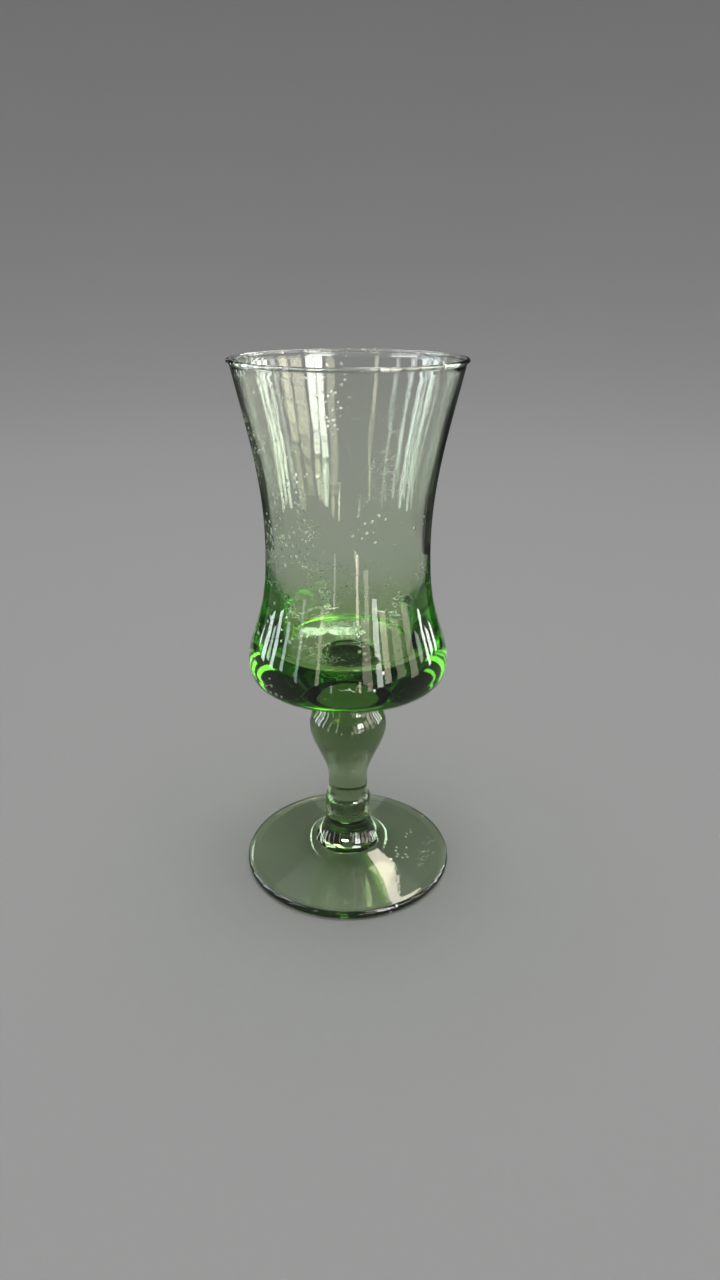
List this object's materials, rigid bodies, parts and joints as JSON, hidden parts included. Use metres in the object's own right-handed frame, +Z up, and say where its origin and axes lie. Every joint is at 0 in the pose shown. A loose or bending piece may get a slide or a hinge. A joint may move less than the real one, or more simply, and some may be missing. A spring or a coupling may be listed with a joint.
{
  "type": "liqueur glass",
  "caption": "Small stemmed liqueur glass in green-tinted glass, with a flared rim, waisted bowl, heavy base, baluster stem, collar and conical foot.",
  "frame": {"origin": "centre of the plane that the foot rests on", "axes": "+Z up along the axis of revolution, from the foot to the rim; X and Y are alike"},
  "size_m": [0.0502, 0.0502, 0.12],
  "materials": {
    "bowl_glass": "fire-polished, clear with a green tint that deepens in the thick base",
    "stem_glass": "fire-polished, solid grey-green glass",
    "foot_glass": "fire-polished, grey-green glass, brighter along the rounded edge"
  },
  "bodies": {
    "root": {"foot": "foot_glass", "collar": "stem_glass", "stem": "stem_glass", "wafer": "stem_glass", "bowl": "bowl_glass"}
  },
  "joints": []
}
